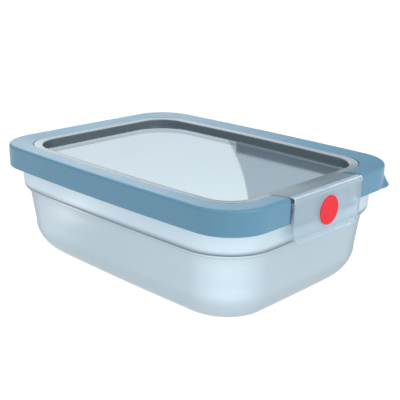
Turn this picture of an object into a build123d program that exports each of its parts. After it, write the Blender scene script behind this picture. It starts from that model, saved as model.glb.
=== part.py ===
from build123d import *
import math
import os

# Rectangular food box with a clear-windowed lid and one snap clip on the +X short end.
# Origin: centre of the tub's resting face. +X along the box towards the clip, +Z up. Millimetres.

# Driving dimensions
LENGTH = 200.0            # lid, between its corner tangents
WIDTH = 144.0             # lid, between its corner tangents
HEIGHT = 72.5             # resting face to the lid's highest line
SIDE_BOW = 2.5            # how far the long sides swell at the middle
END_BOW = 0.5             # how far the short ends swell at the middle

# Lid frame: soft blue rim moulded round the clear panel
LID_CORNER = 25.0
SKIRT_DEPTH = 13.35
SKIRT_WALL = 1.9
CROWN_ROUND = 1.6
DECK_INSET = 2.2          # where the deck starts to fall towards the window
DECK_FALL = 1.55          # height lost between there and the window's edge
DECK_UNDER = 2.6          # underside of the deck, below the crown
FRAME_OPENING = 12.2      # inset of the frame's inner edge
OPENING_CORNER = 18.0
NOTCH_HALF = 30.2         # half width of the gap left for the clip
NOTCH_CORNER = 3.2

# Corner lift tab at the +X, +Y corner
TAB_RADIUS = 15.0
TAB_OUT = 4.6
TAB_HEIGHT = 11.0

# Lid panel: clear moulding with a sunk window
WINDOW_INSET = 16.85
WINDOW_CORNER = 15.5
PANE_DEPTH = 6.8
PANE_THICK = 1.5
FLANGE_THICK = 1.5
FLANGE_INSET = 2.1
TONGUE_HALF = 29.6
RIB_INSET = 7.3
RIB_WALL = 1.2
RIB_DEPTH = 3.2

# Gasket
SEAL_INSET = 3.0
SEAL_WIDTH = 4.0
SEAL_HEIGHT = 2.0
SEAL_ROUND = 0.5

# Tub
TUB_WALL = 1.4
TUB_FLOOR = 1.6
RIM_CLEAR = 0.25          # free gap between the rim and the gasket
RIM_WALL = 3.2
RIM_DEPTH = 2.6
BAND_INSET = 3.1          # outer face at the rim
BAND_SLOPE = 0.06         # mm inwards for each mm down
BAND_CORNER = 29.3
SHOULDER_Z = 43.4         # underside of the band, where it steps in
SHOULDER_STEP = 2.5
SHOULDER_ROUND = 2.0
WALL_DRAFT = 0.11
LOWER_CORNER = 28.5
FOOT_CORNER = 29.4
FOOT_ROUND = 23.8
TUB_BOW = 1.9
FOOT_RECESS = 0.6
FOOT_BAND = 5.0

# Catch ears on the tub's rim, under the clip
EAR_OUT = 99.3
EAR_INNER = 10.0
EAR_OUTER = 27.5
EAR_BOTTOM = 59.0
EAR_TOP = 65.0
EAR_CORNER = 2.2

# Clip
FOLD_RADIUS = 1.4
HINGE_X = 100.6
FLAP_WIDTH = 58.4
FLAP_THICK = 2.0
FLAP_BOTTOM = 46.7
FLAP_CORNER = 6.5
LIP_OUT = 1.5
LIP_HEIGHT = 3.4
WEB_RADIUS = 0.9
WEB_CLEAR = 0.15
HOOK_REACH = 1.9
HOOK_DROP = 2.6
HOOK_CLEAR = 0.35
HOOK_INSET = 0.8
DOT_DIAMETER = 15.8
DOT_Z = 59.9
DOT_POCKET = 0.8
DOT_PROUD = 0.4

# Heights that follow from them
SKIRT_Z = HEIGHT - SKIRT_DEPTH
DECK_Z = HEIGHT - DECK_UNDER
FLANGE_Z = DECK_Z - FLANGE_THICK
PANE_TOP = HEIGHT - PANE_DEPTH
PANE_BOTTOM = PANE_TOP - PANE_THICK
SEAL_Z = FLANGE_Z - SEAL_HEIGHT
RIM_Z = SEAL_Z - RIM_CLEAR
HINGE_Z = HEIGHT - 0.3 - FOLD_RADIUS
FLAP_OUT = HINGE_X + FOLD_RADIUS
FLAP_IN = FLAP_OUT - FLAP_THICK
MARGIN = 10.0

os.makedirs("parts", exist_ok=True)


def outline(z, inset, corner, bow=SIDE_BOW, end_bow=END_BOW):
    """Rounded rectangle with gently swelling sides, as a face at height z."""
    x = LENGTH / 2 - inset
    y = WIDTH / 2 - inset
    with BuildSketch(Plane.XY.offset(z)) as sketch:
        with BuildLine():
            ThreePointArc((-x, -y), (0, -y - bow), (x, -y))
            ThreePointArc((x, -y), (x + end_bow, 0), (x, y))
            ThreePointArc((x, y), (0, y + bow), (-x, y))
            ThreePointArc((-x, y), (-x - end_bow, 0), (-x, -y))
        make_face()
        fillet(sketch.vertices(), corner)
    return sketch.sketch.face()


def prism(low, high, inset, corner, bow=SIDE_BOW, end_bow=END_BOW):
    """Upright block between two heights with the rounded outline."""
    return extrude(outline(low, inset, corner, bow, end_bow), high - low, dir=(0, 0, 1))


def tapered(low, low_inset, low_corner, high, high_inset, high_corner, bow=SIDE_BOW, end_bow=END_BOW):
    """Block whose outline changes evenly from one height to another."""
    bottom = outline(low, low_inset, low_corner, bow, end_bow)
    top = outline(high, high_inset, high_corner, bow, end_bow)
    return Solid.make_loft([bottom.outer_wire(), top.outer_wire()], True)


def block(x0, x1, y0, y1, z0, z1):
    """Plain box given by its limits."""
    centre = ((x0 + x1) / 2, (y0 + y1) / 2, (z0 + z1) / 2)
    return Pos(*centre) * Box(x1 - x0, y1 - y0, z1 - z0)


def y_cylinder(x, z, radius, length):
    """Cylinder along Y, centred on the XZ plane."""
    return Pos(x, 0, z) * Rot(90, 0, 0) * Cylinder(radius, length)


def band_inset(z):
    """Inset of the tub's outer face above the shoulder."""
    return BAND_INSET + BAND_SLOPE * (RIM_Z - z)


def wall_inset(z):
    """Inset of the tub's outer face below the shoulder."""
    return band_inset(SHOULDER_Z) + SHOULDER_STEP + WALL_DRAFT * (SHOULDER_Z - z)


def edges_at(shape, z):
    """Edges lying flat at one height."""
    return [e for e in shape.edges() if abs(e.center().Z - z) < 0.02 and e.bounding_box().size.Z < 0.02]


def tub_skin(grow, floor_z):
    """Tub form: grow is how far the skin lies inside the outer face."""
    ledge = SHOULDER_Z + grow
    band = tapered(
        ledge, band_inset(ledge) + grow, BAND_CORNER - grow,
        RIM_Z, BAND_INSET + grow, BAND_CORNER - grow, TUB_BOW,
    )
    band = fillet(edges_at(band, ledge), SHOULDER_ROUND - grow)
    lower = tapered(
        floor_z, wall_inset(floor_z) + grow, FOOT_CORNER - grow,
        ledge + SHOULDER_ROUND, wall_inset(ledge + SHOULDER_ROUND) + grow, LOWER_CORNER - grow, TUB_BOW,
    )
    lower = fillet(edges_at(lower, floor_z), FOOT_ROUND - grow)
    return band + lower


def make_tub():
    """Translucent tub: drafted wall, stepped shoulder, thick rim and two catch ears."""
    rim_outer = tapered(
        RIM_Z - RIM_DEPTH, band_inset(RIM_Z - RIM_DEPTH), BAND_CORNER,
        RIM_Z, BAND_INSET, BAND_CORNER, TUB_BOW,
    )
    rim_hole = prism(0, HEIGHT, BAND_INSET + RIM_WALL, BAND_CORNER - RIM_WALL, TUB_BOW)
    tub = tub_skin(0.0, 0.0) - tub_skin(TUB_WALL, TUB_FLOOR)
    tub += rim_outer - rim_hole
    for side in (-1, 1):
        y0, y1 = sorted((side * EAR_INNER, side * EAR_OUTER))
        ear = block(EAR_OUT - 4.5, EAR_OUT, y0, y1, EAR_BOTTOM, EAR_TOP)
        ear = fillet(ear.edges().filter_by(Axis.X), EAR_CORNER)
        tub += ear - tub_skin(TUB_WALL, TUB_FLOOR)
    recess_inset = wall_inset(0.0) + FOOT_ROUND + FOOT_BAND
    tub -= prism(-MARGIN, FOOT_RECESS, recess_inset, FOOT_BAND, TUB_BOW)
    return tub


def tub_ring(low, high, inset, wall):
    """Ring that follows the line of the tub's rim."""
    corner = BAND_CORNER + BAND_INSET - inset
    outer = prism(low, high, inset, corner, TUB_BOW)
    return outer - prism(low - MARGIN, high + MARGIN, inset + wall, corner - wall, TUB_BOW)


def deck_cut():
    """Space above the lid's deck, which falls towards the window."""
    return tapered(
        HEIGHT - DECK_FALL, WINDOW_INSET, WINDOW_CORNER,
        HEIGHT, DECK_INSET, LID_CORNER - DECK_INSET,
    )


def lift_tab(wall):
    """Flare at the +X, +Y corner: a trumpet whose mouth is the skirt's lower edge."""
    reach = LID_CORNER + TAB_OUT - TAB_RADIUS
    corner_x = LENGTH / 2 - LID_CORNER
    corner_y = WIDTH / 2 - LID_CORNER
    centre = (corner_x + reach * math.cos(math.radians(47)), corner_y + reach * math.sin(math.radians(47)))
    mouth = TAB_RADIUS - wall
    throat = TAB_RADIUS - TAB_OUT - wall
    with BuildSketch(Plane.XZ) as profile:
        with BuildLine():
            Line((0, 0), (mouth, 0))
            ThreePointArc((mouth, 0), (throat + TAB_OUT * 0.38, TAB_HEIGHT * 0.46), (throat, TAB_HEIGHT))
            Line((throat, TAB_HEIGHT), (0, TAB_HEIGHT))
            Line((0, TAB_HEIGHT), (0, 0))
        make_face()
    flare = revolve(profile.sketch, Axis.Z)
    return Pos(centre[0], centre[1], SKIRT_Z) * flare


def make_lid_frame():
    """Blue rim: skirt and deck in one ring, open at the clip, with a corner lift tab."""
    outer = prism(SKIRT_Z, HEIGHT, 0.0, LID_CORNER)
    outer = fillet(edges_at(outer, HEIGHT), CROWN_ROUND)
    cavity = prism(SKIRT_Z - MARGIN, DECK_Z, SKIRT_WALL, LID_CORNER - SKIRT_WALL)
    frame = outer + lift_tab(0.0) - cavity - lift_tab(SKIRT_WALL)
    frame -= deck_cut()
    opening = prism(SKIRT_Z - MARGIN, HEIGHT + MARGIN, FRAME_OPENING, OPENING_CORNER)
    notch_x = LENGTH / 2 - FRAME_OPENING
    notch = block(notch_x - MARGIN, LENGTH, -NOTCH_HALF, NOTCH_HALF, SKIRT_Z - MARGIN, HEIGHT + MARGIN)
    mouth = opening + notch
    inner_corners = [
        e for e in mouth.edges().filter_by(Axis.Z)
        if abs(abs(e.center().Y) - NOTCH_HALF) < 0.1 and e.center().X < LENGTH / 2
    ]
    return frame - fillet(inner_corners, NOTCH_CORNER)


def make_lid_panel():
    """Clear panel: sunk window, level flange under the frame, gasket rib and the clip's tongue."""
    flange = prism(FLANGE_Z, DECK_Z, FLANGE_INSET, LID_CORNER - FLANGE_INSET)
    band = prism(FLANGE_Z, HEIGHT, FRAME_OPENING, OPENING_CORNER)
    window = prism(FLANGE_Z - MARGIN, HEIGHT + MARGIN, WINDOW_INSET, WINDOW_CORNER)
    cup = prism(PANE_BOTTOM, DECK_Z, WINDOW_INSET - PANE_THICK, WINDOW_CORNER + PANE_THICK)
    recess = prism(PANE_TOP, HEIGHT + MARGIN, WINDOW_INSET, WINDOW_CORNER)
    tongue_x = LENGTH / 2 - WINDOW_INSET
    tongue = block(tongue_x, FLAP_OUT, -TONGUE_HALF, TONGUE_HALF, FLANGE_Z, HEIGHT)
    tongue &= prism(FLANGE_Z, HEIGHT, 0.0, LID_CORNER)
    tongue_end = HINGE_X - FOLD_RADIUS - WEB_CLEAR
    tongue -= y_cylinder(HINGE_X, HINGE_Z, FOLD_RADIUS + WEB_CLEAR, WIDTH)
    tongue -= block(tongue_end, LENGTH, -NOTCH_HALF, NOTCH_HALF, 0, HINGE_Z)
    flange -= block(tongue_end, LENGTH, -NOTCH_HALF, NOTCH_HALF, 0, HEIGHT + MARGIN)
    rib = tub_ring(FLANGE_Z - RIB_DEPTH, FLANGE_Z, RIB_INSET, RIB_WALL)
    top = flange + band + tongue - deck_cut() - window
    return top + (cup - recess) + rib


def make_lid_seal():
    """Silicone gasket lying under the flange, outside the rib."""
    ring = tub_ring(SEAL_Z, FLANGE_Z, SEAL_INSET, SEAL_WIDTH)
    return fillet(edges_at(ring, SEAL_Z), SEAL_ROUND)


def make_hinge_web():
    """Living hinge, drawn as the round bead that its thin web bends about."""
    return y_cylinder(HINGE_X, HINGE_Z, WEB_RADIUS, FLAP_WIDTH - 1.0)


def make_clip_flap():
    """Clear flap with an outward finger lip and two hooks that sit under the tub's ears."""
    lip_z = FLAP_BOTTOM + LIP_HEIGHT
    with BuildSketch(Plane.XZ) as side:
        with BuildLine():
            Line((FLAP_IN, HINGE_Z), (FLAP_OUT, HINGE_Z))
            Line((FLAP_OUT, HINGE_Z), (FLAP_OUT, lip_z))
            ThreePointArc(
                (FLAP_OUT, lip_z),
                (FLAP_OUT + LIP_OUT * 0.3, lip_z - LIP_HEIGHT * 0.55),
                (FLAP_OUT + LIP_OUT, FLAP_BOTTOM),
            )
            Line((FLAP_OUT + LIP_OUT, FLAP_BOTTOM), (FLAP_IN + LIP_OUT, FLAP_BOTTOM))
            ThreePointArc(
                (FLAP_IN + LIP_OUT, FLAP_BOTTOM),
                (FLAP_IN + LIP_OUT * 0.3, lip_z - LIP_HEIGHT * 0.55),
                (FLAP_IN, lip_z),
            )
            Line((FLAP_IN, lip_z), (FLAP_IN, HINGE_Z))
        make_face()
    flap = extrude(side.sketch, FLAP_WIDTH / 2, both=True)
    with BuildSketch(Plane.YZ) as face:
        with Locations((0, (HINGE_Z + FLAP_BOTTOM) / 2)):
            Rectangle(FLAP_WIDTH, HINGE_Z - FLAP_BOTTOM)
        fillet(face.vertices().sort_by(Axis.Y)[:2], FLAP_CORNER)
    flap &= extrude(face.sketch, LENGTH, dir=(1, 0, 0))
    hook_top = EAR_BOTTOM - HOOK_CLEAR
    for side_of in (-1, 1):
        y0, y1 = sorted((side_of * (EAR_INNER + HOOK_INSET), side_of * (EAR_OUTER - HOOK_INSET)))
        hook = block(FLAP_IN - HOOK_REACH, FLAP_IN + 0.5, y0, y1, hook_top - HOOK_DROP, hook_top)
        nose = hook.edges().filter_by(Axis.Y).sort_by(Axis.Z)[:2].sort_by(Axis.X)[0]
        flap += chamfer(nose, HOOK_REACH * 0.7)
    flap -= y_cylinder(HINGE_X, HINGE_Z, WEB_RADIUS, WIDTH)
    flap -= Pos(FLAP_OUT - DOT_POCKET, 0, DOT_Z) * Rot(0, 90, 0) * Cylinder(
        DOT_DIAMETER / 2, LIP_OUT + MARGIN, align=(Align.CENTER, Align.CENTER, Align.MIN))
    return flap


def make_clip_dot():
    """Red disc let into the flap and standing slightly proud."""
    dot = Cylinder(DOT_DIAMETER / 2, DOT_POCKET + DOT_PROUD, align=(Align.CENTER, Align.CENTER, Align.MIN))
    dot = fillet(dot.edges().sort_by(Axis.Z)[-1], DOT_PROUD * 0.75)
    return Pos(FLAP_OUT - DOT_POCKET, 0, DOT_Z) * Rot(0, 90, 0) * dot


nodes = {
    "tub": make_tub(),
    "lid_panel": make_lid_panel(),
    "lid_frame": make_lid_frame(),
    "lid_seal": make_lid_seal(),
    "clip_hinge_web": make_hinge_web(),
    "clip_flap": make_clip_flap(),
    "clip_dot": make_clip_dot(),
}

for name, shape in nodes.items():
    export_step(shape, f"parts/{name}.step")
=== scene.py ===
import math

import bmesh
import bpy
from mathutils import Matrix, Vector


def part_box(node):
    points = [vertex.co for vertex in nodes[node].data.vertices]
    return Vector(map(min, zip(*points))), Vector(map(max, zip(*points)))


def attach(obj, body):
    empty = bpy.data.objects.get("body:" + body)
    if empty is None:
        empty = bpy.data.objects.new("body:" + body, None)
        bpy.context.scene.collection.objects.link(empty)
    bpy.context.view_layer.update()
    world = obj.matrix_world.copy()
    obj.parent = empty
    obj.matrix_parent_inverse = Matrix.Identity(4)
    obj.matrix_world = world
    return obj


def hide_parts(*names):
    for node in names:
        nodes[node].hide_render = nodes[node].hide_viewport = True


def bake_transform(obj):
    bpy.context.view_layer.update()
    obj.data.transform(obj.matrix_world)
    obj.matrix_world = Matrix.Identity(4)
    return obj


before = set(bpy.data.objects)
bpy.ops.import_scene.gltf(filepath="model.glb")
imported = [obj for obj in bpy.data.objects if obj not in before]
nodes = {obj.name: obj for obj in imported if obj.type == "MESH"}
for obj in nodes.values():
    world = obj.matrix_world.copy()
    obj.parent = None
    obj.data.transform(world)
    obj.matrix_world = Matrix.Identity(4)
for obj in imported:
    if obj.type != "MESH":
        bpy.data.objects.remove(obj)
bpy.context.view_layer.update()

# ----------------------------------------------------------------------------
# Studio. A 70 mm lens just under half a metre away looks down on the corner
# beside the clip, so that the window and both near walls show. The white table
# glows, so it has hardly any shadows.
# ----------------------------------------------------------------------------
scene = bpy.context.scene
scene.view_settings.view_transform = "Standard"

camera_place = Vector((0.3195, -0.3219, 0.1898))
camera_turn = math.radians(134.0)      # the way it looks, from +X towards +Y
camera_dip = math.radians(-18.16)
camera_roll = math.radians(-0.8)
look = Vector((
    math.cos(camera_turn) * math.cos(camera_dip),
    math.sin(camera_turn) * math.cos(camera_dip),
    math.sin(camera_dip),
))
camera = bpy.data.objects.new("camera", bpy.data.cameras.new("camera"))
camera.data.lens = 70.0
camera.location = camera_place
upright = look.to_track_quat("-Z", "Y").to_matrix()
camera.rotation_euler = (Matrix.Rotation(camera_roll, 3, look) @ upright).to_euler()
scene.collection.objects.link(camera)
scene.camera = camera


def softbox(name, shape, size, turn, height, distance, power, colour=(1.0, 1.0, 1.0)):
    """An area light aimed at the lid, with its turn from +X and its height above level in degrees."""
    lamp = bpy.data.objects.new(name, bpy.data.lights.new(name, "AREA"))
    lamp.data.shape = shape
    lamp.data.size = size[0]
    if shape in ("RECTANGLE", "ELLIPSE"):
        lamp.data.size_y = size[1]
    lamp.data.energy = power
    lamp.data.color = colour
    a, e = math.radians(turn), math.radians(height)
    way = Vector((math.cos(a) * math.cos(e), math.sin(a) * math.cos(e), math.sin(e)))
    aim = Vector((0, 0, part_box("lid_panel")[0].z))
    lamp.location = aim + way * distance
    lamp.rotation_euler = (-way).to_track_quat("-Z", "Y").to_euler()
    lamp.visible_camera = False
    scene.collection.objects.link(lamp)
    return lamp


# The round and pane softboxes lie in the window's reflection, the rim one grazes
# the blue rim, the end and fold ones light the clip, and the front, side and left
# ones light the tub's walls. The overhead one is for everything.
round_lamp = softbox(
    "round_softbox", "DISK", size=(1.36,), turn=143.0, height=20.0,
    distance=3.0, power=4.4, colour=(1.0, 0.97, 0.92),
)
pane_lamp = softbox(
    "pane_softbox", "RECTANGLE", size=(5.0, 4.0), turn=134.0, height=24.0,
    distance=4.9, power=18.4, colour=(0.855, 0.97, 1.0),
)
softbox("overhead", "RECTANGLE", size=(1.6, 1.6), turn=-45.0, height=80.0, distance=1.6, power=6.5)
rim_lamp = softbox(
    "rim_softbox", "DISK", size=(2.4,), turn=150.0, height=17.0,
    distance=3.0, power=12.5, colour=(1.0, 0.97, 0.95),
)
end_lamp = softbox(
    "end_softbox", "RECTANGLE", size=(0.9, 0.9), turn=5.0, height=35.0, distance=1.4, power=6.5,
)
front_lamp = softbox(
    "front_softbox", "RECTANGLE", size=(0.3, 0.12), turn=-45.0, height=4.5, distance=0.7, power=0.55,
)
side_lamp = softbox(
    "side_softbox", "RECTANGLE", size=(0.10, 0.03), turn=14.0, height=-3.0, distance=0.235, power=0.047,
)
fold_lamp = softbox(
    "fold_softbox", "RECTANGLE", size=(0.4, 0.4), turn=70.0, height=33.0, distance=1.0, power=5.5,
)
left_lamp = softbox(
    "left_softbox", "RECTANGLE", size=(0.03, 0.02), turn=-130.0, height=-21.0, distance=0.150, power=0.009,
)


class Sock:
    """A shader output that Python arithmetic can use; each operation adds its Math node."""

    def __init__(self, tree, output):
        self.tree = tree
        self.output = output

    def maths(self, operation, first, second):
        return add_node(self.tree, "ShaderNodeMath", {"operation": operation}, {0: first, 1: second})

    def __add__(self, other):
        return self.maths("ADD", self, other)

    def __sub__(self, other):
        return self.maths("SUBTRACT", self, other)

    def __mul__(self, other):
        return self.maths("MULTIPLY", self, other)

    def __rsub__(self, other):
        return self.maths("SUBTRACT", other, self)

    def __pow__(self, other):
        return self.maths("POWER", self, other)

    __radd__ = __add__
    __rmul__ = __mul__

    def size(self):
        return self.maths("ABSOLUTE", self, 0.0)

    def above(self, edge, soft):
        """0 below edge, 1 above it, with a ramp of the given width between."""
        return add_node(self.tree, "ShaderNodeMapRange", {"clamp": True}, {
            "Value": self, "From Min": edge - soft / 2, "From Max": edge + soft / 2,
        })


def add_node(tree, kind, settings, inputs, output=0):
    """Adds a node: its settings first, then the values or links of its sockets."""
    node = tree.nodes.new(kind)
    for name, value in settings.items():
        if name == "stops":
            ramp = node.color_ramp
            ramp.elements[0].position, ramp.elements[0].color = value[0][0], (*value[0][1], 1)
            ramp.elements[1].position, ramp.elements[1].color = value[-1][0], (*value[-1][1], 1)
            for place, colour in value[1:-1]:
                ramp.elements.new(place).color = (*colour, 1)
        else:
            setattr(node, name, value)
    for name, value in inputs.items():
        socket = node.inputs[name]
        if isinstance(value, Sock):
            tree.links.new(value.output, socket)
        elif isinstance(value, tuple) and len(value) == 3 and socket.type == "RGBA":
            socket.default_value = (*value, 1)
        else:
            socket.default_value = value
    return Sock(tree, node.outputs[output]) if len(node.outputs) else None


def start_finish(name):
    """An empty material and its tree."""
    material = bpy.data.materials.new(name)
    material.use_nodes = True
    material.node_tree.nodes.clear()
    return material, material.node_tree


def close_finish(tree, shader):
    add_node(tree, "ShaderNodeOutputMaterial", {}, {"Surface": shader})


def place_of(tree):
    return add_node(tree, "ShaderNodeTexCoord", {}, {}, output="Object")


def noise(tree, scale, detail=2.0):
    return add_node(tree, "ShaderNodeTexNoise", {}, {
        "Vector": place_of(tree), "Scale": scale, "Detail": detail,
    })


def mix_colour(tree, share, first, second):
    return add_node(tree, "ShaderNodeMix", {"data_type": "RGBA"}, {0: share, 6: first, 7: second}, output=2)


def bumped(tree, height, strength, distance):
    return add_node(tree, "ShaderNodeBump", {}, {
        "Height": height, "Strength": strength, "Distance": distance,
    })


floor_material, tree = start_finish("white_table")
paper = add_node(tree, "ShaderNodeBsdfDiffuse", {}, {"Color": (0.15, 0.15, 0.15)})
glow = add_node(tree, "ShaderNodeEmission", {}, {"Color": (1.0, 1.0, 1.0), "Strength": 0.95})
close_finish(tree, add_node(tree, "ShaderNodeAddShader", {}, {0: paper, 1: glow}))
table_half = 25.0
table_mesh = bmesh.new()
bmesh.ops.create_grid(table_mesh, x_segments=1, y_segments=1, size=table_half)
table = bpy.data.objects.new("table", bpy.data.meshes.new("table"))
table_mesh.to_mesh(table.data)
table_mesh.free()
table.data.materials.append(floor_material)
scene.collection.objects.link(table)

# A long black card stands far behind. Only reflections see it.
card_material, tree = start_finish("black_card")
card_shade = noise(tree, 2.0)
close_finish(tree, add_node(tree, "ShaderNodeBsdfPrincipled", {}, {
    "Base Color": mix_colour(tree, card_shade, (0.03, 0.035, 0.04), (0.04, 0.045, 0.05)),
    "Roughness": 0.9,
    "Specular IOR Level": 0.0,
}))
card_ends = (-2.6, 3.0)
card_behind = 3.0
card_height = 1.093
card_half = (card_ends[1] - card_ends[0]) / 2
card_mesh = bmesh.new()
bmesh.ops.create_grid(card_mesh, x_segments=1, y_segments=1, size=1.0)
bmesh.ops.rotate(
    card_mesh, cent=(0, 0, 0), matrix=Matrix.Rotation(math.radians(90), 3, "X"), verts=card_mesh.verts,
)
bmesh.ops.scale(card_mesh, vec=(card_half, 1.0, card_height / 2), verts=card_mesh.verts)
bmesh.ops.translate(
    card_mesh, vec=(sum(card_ends) / 2, card_behind, card_height / 2), verts=card_mesh.verts,
)
card = bpy.data.objects.new("black_card", bpy.data.meshes.new("black_card"))
card_mesh.to_mesh(card.data)
card_mesh.free()
card.data.materials.append(card_material)
card.visible_camera = False
card.visible_diffuse = False
card.visible_shadow = False
scene.collection.objects.link(card)

# A white dome closes the view above the table. Only the camera sees it.
dome_material, tree = start_finish("white_dome")
dome_material.cycles.emission_sampling = "NONE"
close_finish(tree, add_node(tree, "ShaderNodeEmission", {}, {"Color": (1.0, 1.0, 1.0), "Strength": 1.0}))
dome_radius = 3.0
dome_mesh = bmesh.new()
bmesh.ops.create_uvsphere(dome_mesh, u_segments=48, v_segments=24, radius=dome_radius)
dome = bpy.data.objects.new("dome", bpy.data.meshes.new("dome"))
dome_mesh.to_mesh(dome.data)
dome_mesh.free()
dome.data.materials.append(dome_material)
dome.visible_diffuse = False
dome.visible_glossy = False
dome.visible_transmission = False
dome.visible_shadow = False
scene.collection.objects.link(dome)

scene.world = bpy.data.worlds.new("room")
scene.world.use_nodes = True
room_light = scene.world.node_tree.nodes["Background"]
room_light.inputs["Color"].default_value = (0.86, 0.95, 1.0, 1.0)
room_light.inputs["Strength"].default_value = 0.66

# ----------------------------------------------------------------------------
# Tub. One injection moulding in milky polypropylene, with a drafted wall on a
# big foot radius, a stepped shoulder, a band and a thick rim. It is built as
# rings, from the rim down the outside to the foot and down the inside to the floor.
# ----------------------------------------------------------------------------
MM = 0.001
lid_length = 200.0
lid_width = 144.0
tub_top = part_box("tub")[1].z / MM
rim_inset = 3.1
rim_corner = 29.3
rim_wall = 3.2
rim_depth = 2.6
rim_round = 0.6
tub_wall = 1.4
tub_floor = 1.6
band_slope = 0.06
shoulder_z = 43.4
shoulder_step = 2.5
upper_step = 1.7
upper_step_z = 45.5
upper_step_fall = 3.2
wall_draft = 0.11
foot_round = 23.8
foot_relief = 0.6
foot_ring = 5.0
tub_bow = 1.9
end_bow = 0.5
band_heights = (58.0, 52.0)
wall_heights = (38.0, 33.0, 28.0)
corner_steps = 14
side_steps = 14


def start_ring(work, inset, corner, bow, height):
    """A rounded rectangle with swelling sides: a four-sided face with bevelled corners."""
    x, y = lid_length / 2 - inset, lid_width / 2 - inset
    made = bmesh.ops.create_grid(work, x_segments=1, y_segments=1, size=1.0)["verts"]
    bmesh.ops.scale(work, vec=(x, y, 1), verts=made)
    bmesh.ops.bevel(
        work, geom=made, offset=corner, offset_type="OFFSET", affect="VERTICES",
        segments=corner_steps, profile=0.5, material=-1,
    )
    sides = [e for e in work.edges if e.calc_length() > corner]
    bmesh.ops.subdivide_edges(work, edges=sides, cuts=side_steps)
    for v in work.verts:
        v.co.y += math.copysign(bow * (1 - (v.co.x / x) ** 2), v.co.y) * (abs(v.co.y) / y) ** 4
        v.co.x += math.copysign(end_bow * (1 - (v.co.y / y) ** 2), v.co.x) * (abs(v.co.x) / x) ** 4
        v.co.z = height
    bmesh.ops.delete(work, geom=list(work.faces), context="FACES_ONLY")
    return list(work.edges)


def run_rings(work, ring, inset, profile):
    """Extrudes a ring through each inset and height of a profile; returns the last ring."""
    for next_inset, height in profile:
        made = bmesh.ops.extrude_edge_only(work, edges=ring)["geom"]
        verts = [g for g in made if isinstance(g, bmesh.types.BMVert)]
        fresh = set(verts)
        ring = [g for g in made if isinstance(g, bmesh.types.BMEdge) and set(g.verts) <= fresh]
        across = (lid_length / 2 - next_inset) / (lid_length / 2 - inset)
        along = (lid_width / 2 - next_inset) / (lid_width / 2 - inset)
        bmesh.ops.scale(work, vec=(across, along, 1), verts=verts)
        for v in verts:
            v.co.z = height
        inset = next_inset
    return ring


def arc(centre_inset, centre_z, radius, start, end, steps, rise=None):
    """Points of a round or, with a rise, oval stretch of a profile; degrees from outward."""
    rise = rise or radius
    turns = [math.radians(start + (end - start) * i / steps) for i in range(steps + 1)]
    return [(centre_inset - radius * math.cos(t), centre_z + rise * math.sin(t)) for t in turns]


def finish_mesh(work, name, sharp=35.0):
    """Millimetres to metres, normals outwards, smooth faces, and an object at the origin."""
    bmesh.ops.scale(work, vec=(MM, MM, MM), verts=list(work.verts))
    bmesh.ops.remove_doubles(work, verts=list(work.verts), dist=1e-6)
    bmesh.ops.recalc_face_normals(work, faces=list(work.faces))
    for face in work.faces:
        face.smooth = len(face.verts) <= 4
    for edge in work.edges:
        edge.smooth = edge.is_manifold and edge.calc_face_angle(0.0) < math.radians(sharp)
    piece = bpy.data.objects.new(name, bpy.data.meshes.new(name))
    work.to_mesh(piece.data)
    work.free()
    scene.collection.objects.link(piece)
    return piece


def band_at(z):
    return rim_inset + band_slope * (tub_top - z)


def wall_at(z):
    return band_at(shoulder_z) + shoulder_step + wall_draft * (shoulder_z - z)


def tub_side(grow, floor_z):
    """Profile of one skin, from under the rim to the floor, grow mm inside the outer one."""
    foot = foot_round - grow
    lean = math.degrees(math.atan(wall_draft))
    lower = band_at(shoulder_z) + grow
    turn_z = upper_step_z + upper_step_fall
    side = [(band_at(z) + grow, z) for z in (*band_heights, turn_z + 0.3)]
    side += arc(band_at(turn_z) + grow + upper_step, turn_z, upper_step, 0, -80, 10, upper_step_fall)
    groove = lower + upper_step + 0.10
    side += [(groove - 0.08, upper_step_z - 0.25), (groove, upper_step_z - 0.6)]
    lower_step = shoulder_step - upper_step
    side += arc(groove + lower_step, shoulder_z + lower_step, lower_step, -10, -75, 5)
    side += [(wall_at(z) + grow, z) for z in (shoulder_z - 0.4, *wall_heights, floor_z + foot + 0.2)]
    foot_centre = wall_at(floor_z + foot) + grow + foot * math.cos(math.radians(lean))
    side += arc(foot_centre, floor_z + foot, foot, -lean, -90, 16)
    return side


work = bmesh.new()
rim_ring = start_ring(work, rim_inset, rim_corner, tub_bow, tub_top - rim_round)
outside = [(band_at(tub_top - rim_depth), tub_top - rim_depth)] + tub_side(0.0, 0.0)
flat_inset = wall_at(0.0) + foot_round + foot_ring
outside += [(flat_inset - 0.4, 0.0), (flat_inset, foot_relief)]
foot_edge = run_rings(work, rim_ring, rim_inset, outside)
bmesh.ops.edgeloop_fill(work, edges=foot_edge)
inside = arc(rim_inset + rim_round, tub_top - rim_round, rim_round, 0, 90, 4)[1:]
inside += arc(rim_inset + rim_wall - rim_round, tub_top - rim_round, rim_round, 90, 180, 4)
rim_under = tub_top - 4.0
inside += [(rim_inset + rim_wall, tub_top - rim_depth), (band_at(rim_under) + tub_wall, rim_under)]
inside += tub_side(tub_wall, tub_floor)
inner_edge = run_rings(work, rim_ring, rim_inset, inside)
bmesh.ops.edgeloop_fill(work, edges=inner_edge)
tub = finish_mesh(work, "tub_moulding")

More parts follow.
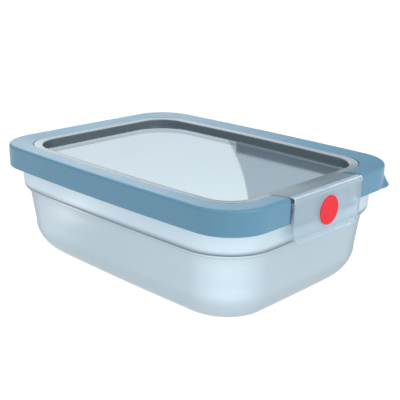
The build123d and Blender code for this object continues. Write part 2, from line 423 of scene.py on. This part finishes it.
tub_material, tree = start_finish("milky_polypropylene")
cloud = noise(tree, 14.0, 3.0)
sheen_bump = bumped(tree, noise(tree, 260.0, 2.0), 0.02, 0.001)
tub_body = add_node(tree, "ShaderNodeBsdfPrincipled", {}, {
    "Base Color": mix_colour(tree, cloud, (0.68, 0.82, 0.91), (0.73, 0.87, 0.96)),
    "Roughness": 0.28 + cloud * 0.08,
    "IOR": 1.49,
    "Normal": sheen_bump,
})
# A darker, shaded copy of the milky plastic: painted shade that the mix below lays on the wall.
tub_shaded_copy = add_node(tree, "ShaderNodeBsdfPrincipled", {}, {
    "Base Color": mix_colour(tree, cloud, (0.11, 0.155, 0.19), (0.13, 0.18, 0.215)),
    "Roughness": 0.28 + cloud * 0.08,
    "IOR": 1.49,
    "Normal": sheen_bump,
})
turned = add_node(tree, "ShaderNodeLayerWeight", {}, {"Blend": 0.5}, output="Facing")
turned_shade = add_node(tree, "ShaderNodeValToRGB", {"stops": [
    (0.05, (0.0, 0.0, 0.0)), (0.13, (0.06, 0.06, 0.06)), (0.25, (0.25, 0.25, 0.25)),
    (0.36, (0.37, 0.37, 0.37)), (0.58, (0.54, 0.54, 0.54)), (0.80, (0.80, 0.80, 0.80)),
    (1.0, (1.0, 1.0, 1.0)),
]}, {"Fac": turned})

# The wall is mixed towards its darker copy where it turns away from the eye, partly
# the milky wall's own edge-on look and partly painted shade; painted shade in the
# recess under the band and just under the lid's skirt; and painted light on the
# band and at the foot, which take less of it.
level = add_node(tree, "ShaderNodeSeparateXYZ", {}, {"Vector": place_of(tree)}, output=2)
band_painted_light = level.above((upper_step_z + 3.5) * MM, 0.0016)
recess_shade_foot = level.above((upper_step_z - 0.5) * MM, 0.0004)
recess_shade = recess_shade_foot * (1.0 - level.above((upper_step_z + 1.7) * MM, 0.0030))
foot_painted_light = 1.0 - level.above(0.0100, 0.0120)
skirt_shadow = level.above(0.0580, 0.0030)
painted_shade_share = turned_shade * (1.0 - band_painted_light * 0.41 - foot_painted_light * 0.30) + recess_shade * 0.60 + skirt_shadow * 0.18
close_finish(tree, add_node(tree, "ShaderNodeMixShader", {}, {0: painted_shade_share, 1: tub_body, 2: tub_shaded_copy}))
tub.data.materials.append(tub_material)
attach(tub, "tub")
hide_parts("tub")

# ----------------------------------------------------------------------------
# Catch ears. Two lugs of the tub's own plastic, moulded with it. They stand out
# of the band under the clip, for its hooks to catch.
# ----------------------------------------------------------------------------
ear_out = 99.3
ear_deep = 3.2
ear_sides = (10.0, 27.5)
ear_heights = (59.0, 65.0)
ear_round = 2.2


def rounded_block(work, low, high, corner_axis, corner, soften):
    """A block whose edges along one axis are well rounded and whose others are just eased."""
    made = bmesh.ops.create_cube(work, size=1.0)["verts"]
    low, high = Vector(low), Vector(high)
    bmesh.ops.scale(work, vec=high - low, verts=made)
    bmesh.ops.translate(work, vec=(low + high) / 2, verts=made)
    ways = [(e, (e.verts[0].co - e.verts[1].co).normalized()) for e in work.edges]
    along = [e for e, way in ways if abs(way[corner_axis]) > 0.99]
    bmesh.ops.bevel(
        work, geom=along, offset=corner, offset_type="OFFSET", affect="EDGES",
        segments=5, profile=0.5, material=-1,
    )
    rims = [e for e in work.edges if e.calc_face_angle(0.0) > math.radians(50)]
    bmesh.ops.bevel(
        work, geom=rims, offset=soften, offset_type="OFFSET", affect="EDGES",
        segments=3, profile=0.5, material=-1,
    )


# The ears get a darker copy of the tub's plastic: painted shade for the shaded space behind the clip's
# flap, through which they show.
ear_shaded_material, tree = start_finish("shaded_polypropylene")
close_finish(tree, add_node(tree, "ShaderNodeBsdfPrincipled", {}, {
    "Base Color": mix_colour(tree, noise(tree, 40.0, 3.0), (0.40, 0.49, 0.56), (0.46, 0.55, 0.62)),
    "Roughness": 0.28 + noise(tree, 90.0) * 0.08,
    "IOR": 1.49,
}))
for side, label in ((-1, "left"), (1, "right")):
    work = bmesh.new()
    near, far = sorted((side * ear_sides[0], side * ear_sides[1]))
    ear_root = (ear_out - ear_deep, near, ear_heights[0])
    ear_face = (ear_out, far, ear_heights[1])
    rounded_block(work, ear_root, ear_face, corner_axis=0, corner=ear_round, soften=0.35)
    ear = finish_mesh(work, f"catch_ear_{label}")
    ear.data.materials.append(ear_shaded_material)
    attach(ear, "tub")

# ----------------------------------------------------------------------------
# Lid panel. A clear polished moulding: the window is sunk inside an upright
# wall, a level flange runs under the blue rim, and a tongue reaches the clip.
# ----------------------------------------------------------------------------
lid_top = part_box("lid_frame")[1].z / MM
lid_bow = 2.5
window_inset = 16.85
window_corner = 15.5
band_outside = 12.25
band_corner = 17.95
pane_top = 65.7
panel_thick = 1.5
deck_start = 2.2
deck_drop = 1.55
flange_top = 69.85
flange_inset = 2.4
flange_corner = 22.6


def deck_at(inset):
    """Height of the lid's top, which falls gently from its crown to the window's edge."""
    return lid_top - deck_drop * max(inset - deck_start, 0) / (window_inset - deck_start)


def bridge_rings(work, rings, bow):
    """Joins rings of inset, corner and height, one after the other; returns the last ring."""
    last = None
    for inset, corner, height in rings:
        single = bmesh.new()
        start_ring(single, inset, corner, bow, height)
        carrier = bpy.data.meshes.new("ring")
        single.to_mesh(carrier)
        single.free()
        count = len(work.edges)
        work.from_mesh(carrier)
        bpy.data.meshes.remove(carrier)
        work.edges.ensure_lookup_table()
        ring = work.edges[count:]
        if last:
            bmesh.ops.bridge_loops(work, edges=last + ring)
        last = ring
    return last


work = bmesh.new()
pane_edge = bridge_rings(work, [
    (flange_inset, flange_corner, flange_top), (band_outside, band_corner, flange_top),
    (band_outside, band_corner, deck_at(band_outside) - 0.05),
    (window_inset - 0.7, window_corner + 0.7, deck_at(window_inset)),
    (window_inset - 0.2, window_corner + 0.2, deck_at(window_inset) - 0.2),
    (window_inset, window_corner, deck_at(window_inset) - 0.7),
    (window_inset, window_corner, pane_top + 0.6),
    (window_inset + 0.18, window_corner - 0.18, pane_top + 0.18),
    (window_inset + 0.6, window_corner - 0.6, pane_top),
], lid_bow)
bmesh.ops.edgeloop_fill(work, edges=pane_edge)
panel = finish_mesh(work, "window_panel", sharp=50.0)
panel_wall = panel.modifiers.new("wall", "SOLIDIFY")
panel_wall.thickness = panel_thick * MM
panel_wall.offset = -1.0

panel_material, tree = start_finish("clear_panel")
level = add_node(tree, "ShaderNodeSeparateXYZ", {}, {"Vector": place_of(tree)}, output=2)
wall_zone = level.above((pane_top + 0.12) * MM, 0.0001)
band_zone = level.above((deck_at(window_inset) - 0.04) * MM, 0.00006)
haze = noise(tree, 30.0, 3.0)
clear = add_node(tree, "ShaderNodeBsdfTransparent", {}, {"Color": (0.88, 0.93, 0.96)})
gloss = add_node(tree, "ShaderNodeBsdfGlossy", {}, {
    "Color": (0.645, 0.69, 0.72), "Roughness": 0.015 + haze * 0.03,
})
mirror = add_node(tree, "ShaderNodeFresnel", {}, {"IOR": 1.49})
milk = add_node(tree, "ShaderNodeBsdfPrincipled", {}, {
    "Base Color": mix_colour(tree, haze, (0.21, 0.275, 0.33), (0.235, 0.30, 0.355)),
    "Roughness": 0.9,
    "Specular IOR Level": 0.0,
})
slant = add_node(tree, "ShaderNodeLayerWeight", {}, {"Blend": 0.5}, output="Facing")
see_through = add_node(tree, "ShaderNodeMixShader", {}, {
    0: 0.05 + slant ** 3.0 * 1.55, 1: clear, 2: milk,
})
pane_shader = add_node(tree, "ShaderNodeMixShader", {}, {0: mirror, 1: see_through, 2: gloss})
# The window's upright wall is painted dark: painted shade for the shaded space under the blue rim, seen
# through the clear wall.
wall_painted_shade = add_node(tree, "ShaderNodeBsdfPrincipled", {}, {
    "Base Color": mix_colour(tree, haze, (0.09, 0.12, 0.14), (0.12, 0.15, 0.17)),
    "Roughness": 0.22 + haze * 0.06,
    "IOR": 1.49,
})
frost = add_node(tree, "ShaderNodeBsdfPrincipled", {}, {
    "Base Color": mix_colour(tree, haze, (0.35, 0.38, 0.41), (0.41, 0.44, 0.47)),
    "Roughness": 0.2 + haze * 0.08,
    "IOR": 1.49,
})
wall_shader = add_node(tree, "ShaderNodeMixShader", {}, {0: band_zone, 1: wall_painted_shade, 2: frost})
close_finish(tree, add_node(tree, "ShaderNodeMixShader", {}, {
    0: wall_zone, 1: pane_shader, 2: wall_shader,
}))
panel.data.materials.append(panel_material)
panel.visible_glossy = False
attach(panel, "lid")
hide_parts("lid_panel")

# ----------------------------------------------------------------------------
# Gasket rib. A ring under the lid panel, moulded with it in the same clear
# plastic. The gasket lies outside it, under the flange.
# ----------------------------------------------------------------------------
rib_inset = 7.3
rib_wall = 1.2
rib_foot = 65.2
rib_root = 68.6

work = bmesh.new()
rib_edge = start_ring(work, rib_inset, rim_corner + rim_inset - rib_inset, tub_bow, rib_root)
run_rings(work, rib_edge, rib_inset, [
    (rib_inset, rib_foot + 0.2), (rib_inset + 0.2, rib_foot),
    (rib_inset + rib_wall - 0.2, rib_foot), (rib_inset + rib_wall, rib_foot + 0.2),
    (rib_inset + rib_wall, rib_root), (rib_inset, rib_root),
])
rib = finish_mesh(work, "panel_rib", sharp=50.0)
rib.data.materials.append(panel_material)
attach(rib, "lid")

# ----------------------------------------------------------------------------
# Tongue. A frosted part of the panel's moulding that runs from the window's edge
# through the gap in the rim and out to the clip's fold.
# ----------------------------------------------------------------------------
tongue_half = 29.6
tongue_end = 99.0


def extruded_strip(work, outline, half):
    """A closed outline of x and z carried from -half to +half along Y."""
    corners = [work.verts.new((x, -half, z)) for x, z in outline]
    face = work.faces.new(corners)
    made = bmesh.ops.extrude_face_region(work, geom=[face])["geom"]
    moved = [g for g in made if isinstance(g, bmesh.types.BMVert)]
    bmesh.ops.translate(work, vec=(0, 2 * half, 0), verts=moved)
    bmesh.ops.recalc_face_normals(work, faces=list(work.faces))


def ease_edges(work, width, steps=2, over=40.0):
    """Rounds every edge that turns more than the given angle."""
    rims = [e for e in work.edges if e.is_manifold and e.calc_face_angle(0.0) > math.radians(over)]
    bmesh.ops.bevel(
        work, geom=rims, offset=width, offset_type="OFFSET", affect="EDGES",
        segments=steps, profile=0.5, material=-1,
    )


work = bmesh.new()
window_x = lid_length / 2 - window_inset + 0.8
crown_x = lid_length / 2 - deck_start
extruded_strip(work, [
    (window_x, deck_at(window_inset) + 0.04), (crown_x, lid_top - 0.02), (tongue_end, lid_top - 0.02),
    (tongue_end, lid_top - 1.5), (crown_x - 1.0, lid_top - 2.6), (window_x + 1.5, lid_top - 3.0),
], tongue_half)
ease_edges(work, 0.25)
tongue = finish_mesh(work, "clip_tongue", sharp=60.0)
tongue_material, tree = start_finish("frosted_tongue")
# The lighter streaks along the tongue are painted reflections; the same streaks are also a little rougher.
reflection_streak = add_node(tree, "ShaderNodeTexNoise", {}, {
    "Vector": add_node(tree, "ShaderNodeMapping", {}, {
        "Vector": place_of(tree), "Scale": (160.0, 9.0, 20.0), "Rotation": (0.0, 0.0, 0.15),
    }),
    "Scale": 1.0, "Detail": 3.0,
})
tongue_plastic = add_node(tree, "ShaderNodeBsdfPrincipled", {}, {
    "Base Color": mix_colour(tree, reflection_streak, (0.165, 0.215, 0.255), (0.265, 0.33, 0.375)),
    "Roughness": 0.3 + reflection_streak * 0.12,
    "IOR": 1.49,
})
close_finish(tree, tongue_plastic)
tongue.data.materials.append(tongue_material)
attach(tongue, "lid")

# ----------------------------------------------------------------------------
# Lid frame. A soft blue rim moulded round the panel, satin, with one corner
# flared out as a lift tab and a gap at the end where the clip hangs.
# ----------------------------------------------------------------------------
rim_material, tree = start_finish("soft_blue_rim")
tone = noise(tree, 12.0, 3.0)
rim_colour = mix_colour(tree, tone, (0.103, 0.262, 0.382), (0.115, 0.280, 0.405))
across = add_node(tree, "ShaderNodeSeparateXYZ", {}, {"Vector": place_of(tree)}, output=1)
end_wise = add_node(tree, "ShaderNodeSeparateXYZ", {}, {"Vector": place_of(tree)}, output=0)
# The walls of the clip's gap in the rim, with a hair of blue beside it, are painted near black: a painted
# shadow of the gap.
notch_middle = 0.2
notch_half = 31.1
notch_start = 90.0
beside_notch = (across - notch_middle * MM).size().above(notch_half * MM, 0.0004)
notch_gap_shadow = (1.0 - beside_notch) * end_wise.above(notch_start * MM, 0.004)
rim_colour = mix_colour(tree, notch_gap_shadow, rim_colour, (0.03, 0.07, 0.11))
rim_plastic = add_node(tree, "ShaderNodeBsdfPrincipled", {}, {
    "Base Color": rim_colour,
    "Roughness": 0.36 + noise(tree, 60.0, 2.0) * 0.08,
    "IOR": 1.5,
    "Normal": bumped(tree, noise(tree, 1400.0, 1.0), 0.06, 0.0004),
})
close_finish(tree, rim_plastic)
rim = nodes["lid_frame"]
rim.data.materials.clear()
rim.data.materials.append(rim_material)
rim.visible_glossy = False

# ----------------------------------------------------------------------------
# Gasket. A soft ring of milky silicone, moulded on its own. It is pressed into
# the lid outside the rib and closes on the tub's rim.
# ----------------------------------------------------------------------------
seal_material, tree = start_finish("milky_silicone")
silicone = add_node(tree, "ShaderNodeBsdfPrincipled", {}, {
    "Base Color": mix_colour(tree, noise(tree, 30.0), (0.66, 0.70, 0.72), (0.72, 0.76, 0.78)),
    "Roughness": 0.5 + noise(tree, 80.0) * 0.1,
    "Subsurface Weight": 0.1,
})
close_finish(tree, silicone)
seal = nodes["lid_seal"]
seal.data.materials.clear()
seal.data.materials.append(seal_material)

# ----------------------------------------------------------------------------
# Clip. A clear, lightly frosted flap that hangs on a living hinge at the lid's
# end. Its lower corners are round and its lower edge curls out as a finger lip.
# ----------------------------------------------------------------------------
flap_half = 29.2
flap_out = 102.0
flap_thick = 1.4
flap_top = 70.8
flap_bottom = 47.0
flap_corner = 6.5
lip_out = 1.3
lip_height = 3.4
lip_curl = 1.7

clip_material, tree = start_finish("frosted_clip")
grain = noise(tree, 45.0, 3.0)
clip_face = add_node(tree, "ShaderNodeLayerWeight", {}, {"Blend": 0.35}, output="Facing")
clip_plastic = add_node(tree, "ShaderNodeBsdfPrincipled", {}, {
    "Base Color": mix_colour(tree, grain, (0.46, 0.56, 0.63), (0.54, 0.64, 0.71)),
    "Roughness": 0.14 + grain * 0.08,
    "IOR": 1.49,
})
clip_clear = add_node(tree, "ShaderNodeBsdfTransparent", {}, {"Color": (0.93, 0.97, 0.99)})
sideways = add_node(tree, "ShaderNodeSeparateXYZ", {}, {"Vector": place_of(tree)}, output=1)
flank = sideways.size().above((flap_half - 0.15) * MM, 0.0003)
close_finish(tree, add_node(tree, "ShaderNodeMixShader", {}, {
    0: 0.32 + clip_face * 0.4 + flank * 0.45, 1: clip_clear, 2: clip_plastic,
}))

work = bmesh.new()
sheet = bmesh.ops.create_grid(work, x_segments=1, y_segments=1, size=1.0)["verts"]
upended = Matrix.Rotation(math.radians(90), 3, "Y")
bmesh.ops.rotate(work, cent=(0, 0, 0), matrix=upended, verts=sheet)
bmesh.ops.scale(work, vec=(1, flap_half, (flap_top - flap_bottom) / 2), verts=sheet)
bmesh.ops.translate(work, vec=(flap_out - flap_thick, 0, (flap_top + flap_bottom) / 2), verts=sheet)
bmesh.ops.bevel(
    work, geom=[v for v in work.verts if v.co.z < flap_bottom + 1], offset=flap_corner,
    offset_type="OFFSET", affect="VERTICES", segments=12, profile=0.5, material=-1,
)
made = bmesh.ops.extrude_face_region(work, geom=list(work.faces))["geom"]
moved = [g for g in made if isinstance(g, bmesh.types.BMVert)]
bmesh.ops.translate(work, vec=(flap_thick, 0, 0), verts=moved)
bmesh.ops.recalc_face_normals(work, faces=list(work.faces))
ease_edges(work, 0.35, steps=3, over=60.0)
lip_cuts = 9
lip_spacing = 0.45
for cut in range(lip_cuts):
    bmesh.ops.bisect_plane(
        work, geom=list(work.verts) + list(work.edges) + list(work.faces), dist=1e-6,
        plane_co=(0, 0, flap_bottom + lip_spacing * (cut + 0.5)), plane_no=(0, 0, 1),
    )
for v in work.verts:
    hang = max(flap_bottom + lip_height - v.co.z, 0) / lip_height
    v.co.x += lip_out * hang ** lip_curl
flap = finish_mesh(work, "clip_plate", sharp=50.0)
flap.data.materials.append(clip_material)
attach(flap, "clip")
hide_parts("clip_flap")

# ----------------------------------------------------------------------------
# Clip hooks. Two ridges inside the flap, moulded with it, that go under the
# tub's ears and hold the lid down.
# ----------------------------------------------------------------------------
hook_sides = (10.8, 26.7)
hook_heights = (56.05, 58.65)
hook_reach = 1.9
for side, label in ((-1, "left"), (1, "right")):
    work = bmesh.new()
    near, far = sorted((side * hook_sides[0], side * hook_sides[1]))
    inner = flap_out - flap_thick
    hook_tip = (inner - hook_reach, near, hook_heights[0])
    hook_root = (inner + 0.4, far, hook_heights[1])
    rounded_block(work, hook_tip, hook_root, corner_axis=1, corner=0.7, soften=0.2)
    hook = finish_mesh(work, f"clip_hook_{label}")
    hook.data.materials.append(clip_material)
    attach(hook, "clip")

# ----------------------------------------------------------------------------
# Hinge web. The living hinge between tongue and flap, a thin web of the same
# plastic. It carries the tongue's skin over the fold.
# ----------------------------------------------------------------------------
web_start = 98.4
web_end = 69.4
web_thick = 0.5
fold_round = 1.3
web_over = 0.02
web_out = flap_out + 0.03
work = bmesh.new()
outer = [(web_start, lid_top + web_over)]
outer += arc(web_out - fold_round, lid_top + web_over - fold_round, fold_round, 90, 180, 8)
outer += [(web_out, web_end)]
inner = [(web_start, lid_top - web_thick)]
inner += arc(flap_out - fold_round, lid_top - fold_round, fold_round - web_thick, 90, 180, 8)
inner += [(flap_out - web_thick, web_end)]
extruded_strip(work, outer + inner[::-1], tongue_half)
web = finish_mesh(work, "hinge_web", sharp=50.0)
web.data.materials.append(clip_material)
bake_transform(web)
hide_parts("clip_hinge_web")

# ----------------------------------------------------------------------------
# Red disc. A round of satin red plastic, let into the flap's outer face and
# standing slightly proud of it.
# ----------------------------------------------------------------------------
dot_material, tree = start_finish("red_disc")
dot_plastic = add_node(tree, "ShaderNodeBsdfPrincipled", {}, {
    "Base Color": mix_colour(tree, noise(tree, 40.0), (0.78, 0.010, 0.022), (0.83, 0.012, 0.027)),
    "Roughness": 0.45 + noise(tree, 90.0) * 0.08,
    "Specular IOR Level": 0.3,
})
close_finish(tree, dot_plastic)
nodes["clip_dot"].data.materials.clear()
nodes["clip_dot"].data.materials.append(dot_material)

# ----------------------------------------------------------------------------
# Flags. Card flags keep each softbox off all but the pieces that it is set for.
# Only the overhead one has no flags.
# ----------------------------------------------------------------------------


def light_only(name, pieces, lamps):
    """These lamps light these pieces and nothing else."""
    group = bpy.data.collections.new(name)
    for piece in pieces:
        group.objects.link(piece)
    for lamp in lamps:
        lamp.light_linking.receiver_collection = group


lid_and_clip = (rim, panel, tongue, web, flap, nodes["clip_dot"])
light_only("lit_lid", lid_and_clip, (end_lamp, round_lamp))
light_only("lit_rim", (rim,), (rim_lamp,))
light_only("lit_pane", (panel,), (pane_lamp,))
light_only("lit_clip", (web, flap), (fold_lamp,))
light_only("lit_tub", (tub,), (left_lamp, front_lamp, side_lamp))
